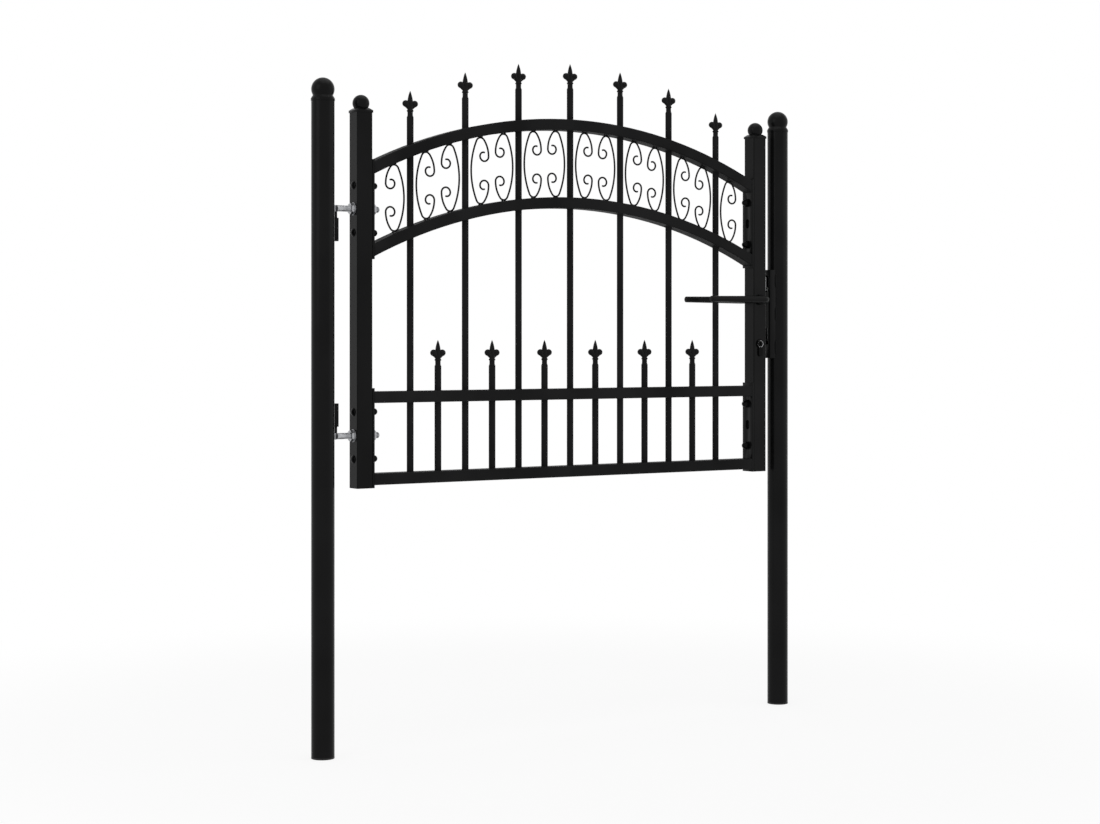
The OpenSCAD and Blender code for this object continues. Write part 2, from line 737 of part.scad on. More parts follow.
// Outline of the key cylinder drawn through the stile, wider by a clearance all round
module key_cylinder_body(half_l, clear) {
    along_y(latch_stile_x, -half_l, cylinder_z) {
        cylinder(d = cylinder_d + 2 * clear, h = 2 * half_l);
        translate([0, cylinder_web_drop, 0]) cylinder(d = cylinder_web_w + 2 * clear, h = 2 * half_l);
        translate([-cylinder_web_w / 2 - clear, 0, 0])
            cube([cylinder_web_w + 2 * clear, cylinder_web_drop, 2 * half_l]);
    }
}

module key_cylinder() {
    half_l = stile_w / 2 + cylinder_proud;
    key_w = cylinder_d / 7;
    key_h = cylinder_d / 2;
    color(steel) difference() {
        key_cylinder_body(half_l, 0);
        for (side = [-1, 1])
            translate([latch_stile_x - key_w / 2, side * half_l - cylinder_proud, cylinder_z - key_h / 2])
                cube([key_w, 2 * cylinder_proud, key_h]);
    }
}

// Opening in which the latch bolt slides
module latch_way(depth) {
    way_t = latch_bolt_t + 2 * slide_gap;
    way_h = latch_bolt_h + 2 * slide_gap;
    translate([leaf_x1 + forend_t - depth, -way_t / 2, latch_bolt_z - way_h / 2])
        cube([depth + overrun, way_t, way_h]);
}

// Lock body inside the latch stile with its front plate on the stile's outer face
module lock_case() {
    color(steel) difference() {
        union() {
            translate([leaf_x1, -forend_w / 2, forend_z]) cube([forend_t, forend_w, forend_h]);
            translate([leaf_x1 - stile_wall - lock_case_depth, -lock_case_w / 2, lock_case_z])
                cube([lock_case_depth + stile_wall, lock_case_w, lock_case_h]);
        }
        along_y(latch_stile_x, -stile_w, spindle_z)
            cylinder(d = spindle_d + 2 * pin_clear, h = 2 * stile_w);
        key_cylinder_body(stile_w, hole_clear);
        latch_way(forend_t + stile_w / 2 + latch_throw + slide_gap);
    }
}

// Latch bolt, sliding back into the lock. Its nose is bevelled on the side that meets the strike first
module latch_bolt() {
    back_x = leaf_x1 - stile_w / 2;
    nose_x = leaf_x1 + forend_t + latch_throw;
    color(zinc) translate([0, 0, latch_bolt_z - latch_bolt_h / 2]) linear_extrude(latch_bolt_h)
        polygon([[back_x, latch_bolt_t / 2], [nose_x, latch_bolt_t / 2],
                 [nose_x, latch_bolt_t / 4], [nose_x - latch_throw, -latch_bolt_t / 2],
                 [back_x, -latch_bolt_t / 2]]);
}

module lever_spindle() {
    half_l = lever_stand_off - lever_bend_r;
    color(steel) along_y(latch_stile_x, -half_l, spindle_z) cylinder(d = spindle_d, h = 2 * half_l);
}

// Round bar bent square to its neck and tapering to its tip, with a collar at the stile.
// It stands on the face away from +Y
module lever() {
    foot = stile_w / 2 + slide_gap;
    bar_l = lever_reach - lever_bend_r - lever_tip_bevel;
    difference() {
        union() {
            rotate([90, 0, 0]) {
                translate([0, 0, foot]) {
                    cylinder(d = lever_collar_d, h = lever_collar_t);
                    cylinder(d = lever_d, h = lever_stand_off - lever_bend_r - foot);
                }
            }
            translate([-lever_bend_r, -lever_stand_off + lever_bend_r, 0]) rotate([0, 0, -90])
                rotate_extrude(angle = 90) translate([lever_bend_r, 0]) circle(d = lever_d);
            translate([-lever_bend_r, -lever_stand_off, 0]) rotate([0, -90, 0]) {
                cylinder(d1 = lever_d, d2 = lever_tip_d, h = bar_l);
                translate([0, 0, bar_l])
                    cylinder(d1 = lever_tip_d, d2 = lever_tip_d - 2 * lever_tip_bevel, h = lever_tip_bevel);
            }
        }
        rotate([90, 0, 0])
            cylinder(d = spindle_d + 2 * seat_gap, h = lever_stand_off - lever_bend_r + seat_gap);
    }
}

module front_lever() color(black) translate([latch_stile_x, 0, spindle_z]) lever();
module back_lever() color(black) translate([latch_stile_x, 0, spindle_z]) mirror([0, 1, 0]) lever();

hinge_post();
hinge_post_cap();
hinge_post_plug();
latch_post();
latch_post_cap();
latch_post_plug();
upper_pintle();
lower_pintle();
strike_channel();
hinge_stile();
latch_stile();
hinge_stile_cap();
latch_stile_cap();
bottom_rail();
middle_rail();
lower_arch();
upper_arch();
upper_hinge_plate();
lower_hinge_plate();
upper_latch_plate();
lower_latch_plate();
for (i = [1:picket_count])
    tall_picket(i);
for (i = [1:picket_count - 1])
    short_picket(i);
tall_spearheads();
short_spearheads();
scrollwork();
panel_bolts();
upper_eye_bolt();
lower_eye_bolt();
hinge_nuts();
lock_case();
key_cylinder();
latch_bolt();
lever_spindle();
front_lever();
back_lever();
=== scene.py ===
import json
import math

import bmesh
import bpy
from mathutils import Matrix, Vector

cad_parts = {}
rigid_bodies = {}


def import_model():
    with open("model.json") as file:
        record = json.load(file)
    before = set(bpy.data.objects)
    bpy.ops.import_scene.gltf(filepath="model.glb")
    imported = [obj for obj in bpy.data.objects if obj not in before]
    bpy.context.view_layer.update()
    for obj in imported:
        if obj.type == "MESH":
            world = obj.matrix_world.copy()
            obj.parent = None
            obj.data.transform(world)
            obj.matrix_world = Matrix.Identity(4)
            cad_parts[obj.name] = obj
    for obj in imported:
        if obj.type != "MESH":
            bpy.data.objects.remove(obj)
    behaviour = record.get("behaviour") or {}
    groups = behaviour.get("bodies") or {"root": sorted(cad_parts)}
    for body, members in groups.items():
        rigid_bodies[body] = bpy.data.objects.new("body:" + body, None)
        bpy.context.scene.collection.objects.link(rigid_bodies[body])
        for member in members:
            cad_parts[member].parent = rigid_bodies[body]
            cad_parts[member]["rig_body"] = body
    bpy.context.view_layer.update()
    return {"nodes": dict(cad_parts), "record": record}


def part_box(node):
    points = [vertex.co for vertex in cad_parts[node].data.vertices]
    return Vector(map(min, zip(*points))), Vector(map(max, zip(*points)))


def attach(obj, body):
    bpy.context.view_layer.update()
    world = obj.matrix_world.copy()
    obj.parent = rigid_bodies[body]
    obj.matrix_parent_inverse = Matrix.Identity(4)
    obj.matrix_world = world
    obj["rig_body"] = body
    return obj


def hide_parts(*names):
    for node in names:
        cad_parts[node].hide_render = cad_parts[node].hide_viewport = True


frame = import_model()
nodes = frame["nodes"]
scene = bpy.context.scene
scene.view_settings.view_transform = "Standard"

MM = 0.001
X, Y, Z = Vector((1, 0, 0)), Vector((0, 1, 0)), Vector((0, 0, 1))

# Bodies that new pieces ride on, and groups of nodes that are treated alike
LEAF, POSTS = "gate_leaf", "posts"
ARCHES = ("upper_arch", "lower_arch")
RAILS = ("bottom_rail", "middle_rail")
TALL_PICKETS = [f"tall_picket_{i}" for i in range(1, 8)]
SHORT_PICKETS = [f"short_picket_{i}" for i in range(1, 7)]
PLATES = ("upper_hinge_plate", "lower_hinge_plate", "upper_latch_plate", "lower_latch_plate")
CAPS = ("hinge_post_cap", "latch_post_cap", "hinge_stile_cap", "latch_stile_cap")
EYE_BOLTS = ("upper_eye_bolt", "lower_eye_bolt")
PINTLES = ("upper_pintle", "lower_pintle")
LEVERS = ("front_lever", "back_lever")


# Shader nodes that the materials share

def new_material(name):
    mat = bpy.data.materials.new(name)
    mat.use_nodes = True
    tree = mat.node_tree
    return mat, tree, tree.nodes["Principled BSDF"]


def object_coords(tree):
    return tree.nodes.new("ShaderNodeTexCoord").outputs["Object"]


def noise(tree, coords, scale, detail):
    """Noise whose scale counts its patterns in a metre."""
    node = tree.nodes.new("ShaderNodeTexNoise")
    node.inputs["Scale"].default_value = scale
    node.inputs["Detail"].default_value = detail
    tree.links.new(coords, node.inputs["Vector"])
    return node.outputs["Fac"]


def tones(tree, fac, dark_stop, light_stop):
    """Colour between two stops, each a level of the factor and the colour there."""
    node = tree.nodes.new("ShaderNodeValToRGB")
    for element, (level, colour) in zip(node.color_ramp.elements, (dark_stop, light_stop)):
        element.position = level
        element.color = (*colour, 1)
    tree.links.new(fac, node.inputs["Fac"])
    return node.outputs["Color"]


NOISE_LOW, NOISE_HIGH = 0.3, 0.7


def spread(tree, fac, low, high):
    """Stretches the usual range of a noise over a range of values."""
    node = tree.nodes.new("ShaderNodeMapRange")
    node.inputs["From Min"].default_value = NOISE_LOW
    node.inputs["From Max"].default_value = NOISE_HIGH
    node.inputs["To Min"].default_value = low
    node.inputs["To Max"].default_value = high
    tree.links.new(fac, node.inputs["Value"])
    return node.outputs["Result"]


def bump(tree, height, strength, distance, normal=None):
    node = tree.nodes.new("ShaderNodeBump")
    node.inputs["Strength"].default_value = strength
    node.inputs["Distance"].default_value = distance
    tree.links.new(height, node.inputs["Height"])
    if normal is not None:
        tree.links.new(normal, node.inputs["Normal"])
    return node.outputs["Normal"]


# Materials

COAT_DRIFT, COAT_GLOSS, COAT_PEEL, COAT_GRAIN = 9, 45, 420, 1900
PEEL_STRENGTH, PEEL_DEPTH = 0.10, 0.4 * MM
GRAIN_STRENGTH, GRAIN_DEPTH = 0.16, 0.12 * MM


def powder_coat(name, dark, light, rough, grain, specular):
    """Black coat: faint orange peel, fine grain and slow drifts of tone and gloss."""
    mat, tree, bsdf = new_material(name)
    at = object_coords(tree)
    tone = tones(tree, noise(tree, at, COAT_DRIFT, detail=4), (0.35, dark), (0.65, light))
    tree.links.new(tone, bsdf.inputs["Base Color"])
    gloss = spread(tree, noise(tree, at, COAT_GLOSS, detail=5), *rough)
    tree.links.new(gloss, bsdf.inputs["Roughness"])
    peel = bump(tree, noise(tree, at, COAT_PEEL, detail=2), PEEL_STRENGTH * grain, PEEL_DEPTH)
    fine = bump(tree, noise(tree, at, COAT_GRAIN, detail=2), GRAIN_STRENGTH * grain, GRAIN_DEPTH, peel)
    tree.links.new(fine, bsdf.inputs["Normal"])
    bsdf.inputs["Specular IOR Level"].default_value = specular
    return mat


PLATE_SPANGLE, PLATE_CLOUD, PLATE_GLOSS = 520, 130, 300
SPANGLE_SHARE = 0.35
LINE_STRENGTH, LINE_DEPTH = 0.12, 0.1 * MM


def plated_metal(name, dark, light, rough, lines, metal=1.0):
    """Bare plated steel: cloudy tone, small spangle, and fine draw lines counted along each axis."""
    mat, tree, bsdf = new_material(name)
    at = object_coords(tree)
    cells = tree.nodes.new("ShaderNodeTexVoronoi")
    cells.inputs["Scale"].default_value = PLATE_SPANGLE
    tree.links.new(at, cells.inputs["Vector"])
    cloud = tree.nodes.new("ShaderNodeMath")
    cloud.operation = "MULTIPLY_ADD"
    cloud.inputs[1].default_value = SPANGLE_SHARE
    tree.links.new(cells.outputs["Distance"], cloud.inputs[0])
    tree.links.new(noise(tree, at, PLATE_CLOUD, detail=5), cloud.inputs[2])
    tone = tones(tree, cloud.outputs["Value"], (0.35, dark), (0.85, light))
    tree.links.new(tone, bsdf.inputs["Base Color"])
    gloss = spread(tree, noise(tree, at, PLATE_GLOSS, detail=4), *rough)
    tree.links.new(gloss, bsdf.inputs["Roughness"])
    stretch = tree.nodes.new("ShaderNodeMapping")
    stretch.inputs["Scale"].default_value = lines
    tree.links.new(at, stretch.inputs["Vector"])
    drawn = noise(tree, stretch.outputs["Vector"], 1, detail=3)
    tree.links.new(bump(tree, drawn, LINE_STRENGTH, LINE_DEPTH), bsdf.inputs["Normal"])
    bsdf.inputs["Metallic"].default_value = metal
    return mat


coat = powder_coat("black_powder_coat", (0.0122, 0.0122, 0.0125), (0.0184, 0.0184, 0.0188),
                   rough=(0.42, 0.52), grain=1.0, specular=0.015)
satin_coat = powder_coat("black_satin_coat", (0.0048, 0.0048, 0.0049), (0.0075, 0.0075, 0.0077),
                         rough=(0.18, 0.26), grain=0.6, specular=0.075)
cast_coat = powder_coat("black_coat_on_casting", (0.0066, 0.0066, 0.0068), (0.0102, 0.0102, 0.0105),
                        rough=(0.36, 0.46), grain=2.2, specular=0.07)
bolt_coat = powder_coat("black_oxide_bolts", (0.0016, 0.0016, 0.0017), (0.0032, 0.0032, 0.0033),
                        rough=(0.20, 0.30), grain=0.6, specular=0.065)
plug_plastic = powder_coat("black_moulded_plastic", (0.004, 0.004, 0.004), (0.007, 0.007, 0.007),
                           rough=(0.5, 0.6), grain=0.6, specular=0.3)
# Lever collar: a real part, coloured darker than the satin coat of the bar as painted shade for the shadow
# that the bar casts on it
collar_painted_shade = powder_coat("lever_collar_painted_shade", (0.0012, 0.0012, 0.0013), (0.0026, 0.0026, 0.0027),
                             rough=(0.30, 0.42), grain=0.6, specular=0.06)
cylinder_coat = powder_coat("black_lock_cylinder", (0.0010, 0.0010, 0.0011), (0.0022, 0.0022, 0.0023),
                            rough=(0.22, 0.32), grain=0.5, specular=0.06)
zinc = plated_metal("zinc_plate", (0.25, 0.255, 0.265), (0.45, 0.455, 0.47),
                    rough=(0.26, 0.40), lines=(300, 4000, 4000))
bright_zinc = plated_metal("bright_latch_plate", (0.66, 0.665, 0.68), (0.84, 0.845, 0.86),
                           rough=(0.42, 0.54), lines=(300, 4000, 4000), metal=0.3)
nickel = plated_metal("brushed_lock_steel", (0.20, 0.20, 0.205), (0.32, 0.32, 0.325),
                      rough=(0.28, 0.40), lines=(2500, 2500, 160))


# What each node wears; a softened copy of a node wears the same

SATIN = ("hinge_post", "latch_post", "hinge_stile", "latch_stile", "strike_channel") + CAPS + PLATES + LEVERS
LOOK = {name: coat for name in nodes}
LOOK.update({name: satin_coat for name in SATIN})
LOOK.update({name: zinc for name in EYE_BOLTS})
LOOK.update({"hinge_nuts": zinc, "panel_bolts": bolt_coat, "latch_bolt": bright_zinc, "lock_case": nickel,
             "lever_spindle": nickel, "key_cylinder": cylinder_coat,
             "hinge_post_plug": plug_plastic, "latch_post_plug": plug_plastic})


def paint(obj, mat):
    obj.data.materials.clear()
    obj.data.materials.append(mat)


for name, obj in nodes.items():
    paint(obj, LOOK[name])


# Mesh helpers

def piece(name, bm, mat, body, sharp=40, stands_for=None):
    """Turns a bmesh into a piece that rides on a body, smooth but for edges sharper than the angle."""
    bmesh.ops.recalc_face_normals(bm, faces=bm.faces)
    for face in bm.faces:
        face.smooth = True
    for edge in bm.edges:
        if len(edge.link_faces) == 2 and edge.calc_face_angle() > math.radians(sharp):
            edge.smooth = False
    mesh = bpy.data.meshes.new(name)
    bm.to_mesh(mesh)
    bm.free()
    obj = bpy.data.objects.new(name, mesh)
    scene.collection.objects.link(obj)
    paint(obj, mat)
    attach(obj, body)
    if stands_for:
        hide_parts(stands_for)
    return obj


def angles(n):
    return [math.tau * k / n for k in range(n)]


def heading(u, v, angle):
    """Unit vector at an angle from u towards v."""
    return math.cos(angle) * u + math.sin(angle) * v


def ring(bm, centre, u, v, r, n):
    return [bm.verts.new(centre + r * heading(u, v, a)) for a in angles(n)]


def sides(axis):
    """Two unit vectors square to an axis."""
    axis = axis.normalized()
    u = axis.cross(Y if abs(axis.y) < 0.9 else X).normalized()
    return u, axis.cross(u)


def skin(bm, loops, close=False):
    """Faces between neighbouring loops, and from the last back to the first where the row is closed."""
    n = len(loops[0])
    pairs = list(zip(loops, loops[1:]))
    if close:
        pairs.append((loops[-1], loops[0]))
    for a, b in pairs:
        for k in range(n):
            bm.faces.new((a[k], a[(k + 1) % n], b[(k + 1) % n], b[k]))


def capped_skin(bm, loops):
    """Skin over loops, with a face on each end."""
    skin(bm, loops)
    bm.faces.new(loops[0])
    bm.faces.new(loops[-1])


def fan(bm, tip, loop):
    """Triangles from a point to each edge of a loop."""
    for k, vert in enumerate(loop):
        bm.faces.new((tip, vert, loop[(k + 1) % len(loop)]))


def turned(bm, base, axis, profile, n):
    """Solid of revolution from (distance along the axis, radius) pairs, whose last radius is 0."""
    u, v = sides(axis)
    loops = [ring(bm, base + axis * d, u, v, r, n) for d, r in profile[:-1]]
    tip = bm.verts.new(base + axis * profile[-1][0])
    skin(bm, loops)
    fan(bm, tip, loops[-1])
    bm.faces.new(loops[0])


SAME_POINT = 0.001 * MM
FLAT_ANGLE, HARD_ANGLE = math.radians(0.5), math.radians(35)


def softened(name, width):
    """Copy of a CAD node with its hard edges broken, standing for that node."""
    bm = bmesh.new()
    bm.from_mesh(nodes[name].data)
    bmesh.ops.remove_doubles(bm, verts=bm.verts, dist=SAME_POINT)
    bmesh.ops.dissolve_limit(bm, angle_limit=FLAT_ANGLE, verts=bm.verts, edges=bm.edges)
    hard = [e for e in bm.edges if len(e.link_faces) == 2 and e.calc_face_angle() > HARD_ANGLE]
    bmesh.ops.bevel(bm, geom=hard, offset=width, segments=2, profile=0.5, affect="EDGES", clamp_overlap=True)
    return piece(name + "_dressed", bm, LOOK[name], nodes[name]["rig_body"], stands_for=name)


# Sizes and places read back from the frame

def middle(name):
    low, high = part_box(name)
    return (low + high) / 2


tall = [middle(name) for name in TALL_PICKETS]
short = [middle(name) for name in SHORT_PICKETS]
picket_r = (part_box(TALL_PICKETS[0])[1].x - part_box(TALL_PICKETS[0])[0].x) / 2
rail_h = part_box("middle_rail")[1].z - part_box("middle_rail")[0].z
hinge_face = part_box("hinge_stile")[0].x
latch_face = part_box("latch_stile")[1].x
plate_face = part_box("upper_hinge_plate")[1].x
swing = next(joint for joint in frame["record"]["behaviour"]["joints"] if joint["name"] == "gate_swing")
hinge_x, hinge_y = swing["pos_m"][:2]
POST_R = 20 * MM

# Both arches have this outer radius, and their centres lie under the middle picket
ARCH_R = 958 * MM
mid_x = tall[len(tall) // 2].x
arch_centre = {name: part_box(name)[1].z - ARCH_R for name in ARCHES}


def on_arc(centre_z, r, x):
    """Height of an arc about the arches' middle line."""
    return centre_z + math.sqrt(r * r - (x - mid_x) ** 2)


# Scrollwork: one wire per scroll along tangent arcs

WIRE_R, WIRE_SIDES, WIRE_END_STEPS = 1.625 * MM, 14, 4
SCROLL_W, STAND_OFF = 36.5 * MM, 12.4 * MM
TOP_R, TOP_INSET = 9 * MM, 19.6 * MM
CURL_DROP, CURL_R = 24 * MM, 9 * MM
END_R, END_START = 7 * MM, 75
# The solid's bar has flat sides, and its corners reach a little further than the wire
CORNER_SHARE, SEAT_GAP = 1.05, 0.1 * MM


def wire(bm, points):
    """Round wire along points in the leaf's plane, with rounded ends."""
    last = len(points) - 1
    tangents = [(points[min(k + 1, last)] - points[max(k - 1, 0)]).normalized() for k in range(last + 1)]
    first_t, last_t = tangents[0], tangents[-1]
    tilts = [math.pi / 2 * s / (WIRE_END_STEPS + 1) for s in range(1, WIRE_END_STEPS + 1)]
    stations = []
    for a in reversed(tilts):
        stations.append((points[0] - first_t * WIRE_R * math.sin(a), first_t, WIRE_R * math.cos(a)))
    stations += [(p, t, WIRE_R) for p, t in zip(points, tangents)]
    for a in tilts:
        stations.append((points[-1] + last_t * WIRE_R * math.sin(a), last_t, WIRE_R * math.cos(a)))
    capped_skin(bm, [ring(bm, p, Y, t.cross(Y), r, WIRE_SIDES) for p, t, r in stations])


def arc(cx, cz, r, start, end, steps):
    """Points along an arc between two angles in degrees, without the last one."""
    turns = [math.radians(start + (end - start) * k / steps) for k in range(steps)]
    return [(cx + r * math.cos(a), cz + r * math.sin(a)) for a in turns]


def scroll_points(x, side):
    """Middle line of a scroll whose back stands at x and whose curls lie to one side of it."""
    reach = TOP_R + CORNER_SHARE * WIRE_R + SEAT_GAP
    top_x = x + side * TOP_INSET
    top_z = on_arc(arch_centre["upper_arch"], ARCH_R - rail_h - reach, top_x)
    foot_z = on_arc(arch_centre["lower_arch"], ARCH_R + reach, top_x)
    half = (top_z - foot_z) / 2
    back_a = 2 * math.degrees(math.atan((TOP_INSET - TOP_R) / half))
    back_r = half / math.sin(math.radians(back_a)) + TOP_R
    front_a = 2 * math.degrees(math.atan((SCROLL_W - TOP_R - TOP_INSET) / CURL_DROP))
    shift = CURL_DROP / math.sin(math.radians(front_a))
    front_x = TOP_INSET - shift * math.cos(math.radians(front_a))
    curl_z = half - CURL_DROP
    upper = (arc(SCROLL_W - 2 * CURL_R + END_R, curl_z, END_R, END_START, 180, steps=16)
             + arc(SCROLL_W - CURL_R, curl_z, CURL_R, 180, 360, steps=26)
             + arc(front_x, curl_z, shift + TOP_R, 0, front_a, steps=10)
             + arc(TOP_INSET, half, TOP_R, front_a, 180 - back_a, steps=18)
             + arc(back_r, 0, back_r, 180 - back_a, 180, steps=16))
    lower = [(px, -pz) for px, pz in reversed(upper)]
    return [Vector((x + side * px, 0, foot_z + half + pz)) for px, pz in upper + [(0, 0)] + lower]


def scroll_wires():
    """A scroll on each side of each tall picket. Gives the points where they meet the arches."""
    bm = bmesh.new()
    meets = []
    for p in tall:
        for side in (-1, 1):
            points = scroll_points(p.x + side * STAND_OFF, side)
            wire(bm, points)
            meets.append((max(points, key=lambda q: q.z), 1))
            meets.append((min(points, key=lambda q: q.z), -1))
    piece("scroll_wires", bm, coat, LEAF, sharp=80, stands_for="scrollwork")
    return meets


TACK_OFF, TACK_SHIFT, TACK_SINK = 2.6 * MM, 0.3 * MM, 0.5 * MM
TACK_RADII = (2.4 * MM, 1.7 * MM, 1.1 * MM)


def scroll_tacks(meets):
    """Small weld tacks on both sides of each point where a scroll meets an arch."""
    bm = bmesh.new()
    for k, (p, up) in enumerate(meets):
        slope = -math.asin((p.x - mid_x) / ARCH_R)
        base = Vector((p.x, 0, p.z + up * WIRE_R))
        for side in (-1, 1):
            dx = side * (TACK_OFF + TACK_SHIFT * (k % 3))
            dz = side * math.tan(slope) * TACK_OFF - up * TACK_SINK
            blob = Matrix.Translation(base + Vector((dx, 0, dz))) @ Matrix.Diagonal((*TACK_RADII, 1))
            bmesh.ops.create_icosphere(bm, subdivisions=2, radius=1, matrix=blob)
    piece("scroll_tacks", bm, coat, LEAF, sharp=90)


scroll_tacks(scroll_wires())


# Spearheads: the turned and lobed casting with its joints run together

HEAD_REACH = 25 * MM
CAST_VOXEL, CAST_SMOOTH, CAST_PASSES = 0.5 * MM, 0.5, 4


def cast_head(node, x):
    """Mesh of the one head of a node that stands at x, blended, with its foot at the origin."""
    bm = bmesh.new()
    bm.from_mesh(nodes[node].data)
    bmesh.ops.remove_doubles(bm, verts=bm.verts, dist=SAME_POINT)
    others = [v for v in bm.verts if abs(v.co.x - x) > HEAD_REACH]
    bmesh.ops.delete(bm, geom=others, context="VERTS")
    foot = Vector((x, 0, min(v.co.z for v in bm.verts)))
    for v in bm.verts:
        v.co -= foot
    mesh = bpy.data.meshes.new("head_source")
    bm.to_mesh(mesh)
    bm.free()
    temp = bpy.data.objects.new("head_source", mesh)
    scene.collection.objects.link(temp)
    remesh = temp.modifiers.new("remesh", "REMESH")
    remesh.mode = "VOXEL"
    remesh.voxel_size = CAST_VOXEL
    smooth = temp.modifiers.new("smooth", "SMOOTH")
    smooth.factor = CAST_SMOOTH
    smooth.iterations = CAST_PASSES
    bpy.context.view_layer.update()
    cast = bpy.data.meshes.new_from_object(temp.evaluated_get(bpy.context.evaluated_depsgraph_get()))
    bpy.data.objects.remove(temp)
    return cast


def cast_heads(name, node, pickets):
    """A cast head on the top of each picket."""
    feet = [Vector((middle(picket).x, 0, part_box(picket)[1].z)) for picket in pickets]
    cast = cast_head(node, feet[0].x)
    bm = bmesh.new()
    for foot in feet:
        done = len(bm.verts)
        bm.from_mesh(cast)
        bm.verts.ensure_lookup_table()
        bmesh.ops.translate(bm, verts=bm.verts[done:], vec=foot)
    bpy.data.meshes.remove(cast)
    piece(name, bm, cast_coat, LEAF, sharp=85, stands_for=node)


cast_heads("tall_cast_heads", "tall_spearheads", TALL_PICKETS)
cast_heads("short_cast_heads", "short_spearheads", SHORT_PICKETS)


# Weld beads. A seed shifts a bead's ripples, and it mixes places in odd ratios so that no two look alike

RING_STEPS, RING_SIDES, RING_RIPPLE, RING_SWELL = 30, 6, 0.14, 0.08


def bead_ring(bm, centre, axis, r, minor, seed):
    """Weld bead round a circle, with the ripples of its run."""
    u, v = sides(axis)
    loops = []
    for a in angles(RING_STEPS):
        out = heading(u, v, a)
        size = minor * (1 + RING_RIPPLE * math.sin(9 * a + seed) + RING_SWELL * math.sin(5 * a + 2 * seed))
        loops.append([bm.verts.new(centre + out * (r + size * math.cos(b)) + axis * size * math.sin(b))
                      for b in angles(RING_SIDES)])
    skin(bm, loops, close=True)


LINE_STEP, LINE_MIN_STEPS, LINE_SIDES = 0.8 * MM, 6, 7
LINE_RIPPLE, LINE_WAVE = 0.13, 1.9
LINE_END_SHARE, LINE_END_RISE = 0.35, 6


def bead_line(bm, a, b, minor, seed):
    """Weld bead along a straight line, with the ripples of its run and thinner ends."""
    u, v = sides(b - a)
    steps = max(LINE_MIN_STEPS, int((b - a).length / LINE_STEP))
    loops = []
    for k in range(steps + 1):
        t = k / steps
        end = min(1.0, LINE_END_SHARE + LINE_END_RISE * min(t, 1 - t))
        size = minor * end * (1 + LINE_RIPPLE * math.sin(k * LINE_WAVE + seed))
        loops.append(ring(bm, a + (b - a) * t, u, v, size, LINE_SIDES))
    capped_skin(bm, loops)


RAIL_PICKET_BEAD, ARCH_PICKET_BEAD = 0.75 * MM, 0.8 * MM


def picket_welds():
    """Beads round the pickets where they enter the rails and the arches."""
    bm = bmesh.new()
    low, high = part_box("middle_rail")
    rail_faces = (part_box("bottom_rail")[1].z, low.z, high.z)
    for i, p in enumerate(tall + short):
        for z in rail_faces:
            bead_ring(bm, Vector((p.x, 0, z)), Z, picket_r, RAIL_PICKET_BEAD, seed=i + z * 40)
    for i, p in enumerate(tall):
        for name in ARCHES:
            for r in (ARCH_R, ARCH_R - rail_h):
                z = on_arc(arch_centre[name], r, p.x)
                tilt = math.asin((p.x - mid_x) / r)
                axis = Vector((math.sin(tilt), 0, math.cos(tilt)))
                bead_ring(bm, Vector((p.x, 0, z)), axis, picket_r, ARCH_PICKET_BEAD, seed=i + r * 30)
    piece("picket_welds", bm, coat, LEAF, sharp=90)


def end_beads(bm, x, ys, zs, inset, minor, seed_y, seed_z):
    """Four beads round the end of a square tube at x, between two faces in y and two in z."""
    for y in ys:
        ends = [Vector((x, y, z)) for z in (zs[0] + inset, zs[1] - inset)]
        bead_line(bm, *ends, minor, seed=x * seed_y + y)
    for z in zs:
        ends = [Vector((x, y, z)) for y in (ys[0] + inset, ys[1] - inset)]
        bead_line(bm, *ends, minor, seed=x * seed_z + z)


RAIL_BEAD, RAIL_BEAD_INSET = 1.0 * MM, 2.2 * MM
ARCH_BEAD, ARCH_BEAD_INSET = 1.1 * MM, 2 * MM


def frame_welds():
    """Beads at both ends of the rails and the arches."""
    bm = bmesh.new()
    for name in RAILS:
        low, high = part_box(name)
        for x in (low.x, high.x):
            end_beads(bm, x, (low.y, high.y), (low.z, high.z), RAIL_BEAD_INSET, RAIL_BEAD, 90, 70)
    for name in ARCHES:
        low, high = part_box(name)
        for x in (low.x, high.x):
            zs = [on_arc(arch_centre[name], r, x) for r in (ARCH_R - rail_h, ARCH_R)]
            end_beads(bm, x, (low.y, high.y), zs, ARCH_BEAD_INSET, ARCH_BEAD, 50, 60)
    piece("frame_welds", bm, coat, LEAF, sharp=90)


picket_welds()
frame_welds()


# Hinge bolts: rolled thread over the plain bolt, and a closed eye

THREAD_PITCH, THREAD_DEPTH, THREAD_SIDES, THREAD_STEPS = 1.75 * MM, 0.62 * MM, 28, 8
THREAD_RUN_IN, THREAD_FLANK, THREAD_CREST = 3 * MM, 1.35, 0.15
PLAIN_LENGTH = 12 * MM
TIP_LENGTH, TIP_DROP = 1.2 * MM, 1.3 * MM
EYE_HOLE_R, EYE_HALF_H, EYE_EDGE, EYE_STEPS = 4.05 * MM, 5.5 * MM, 0.7 * MM, 48


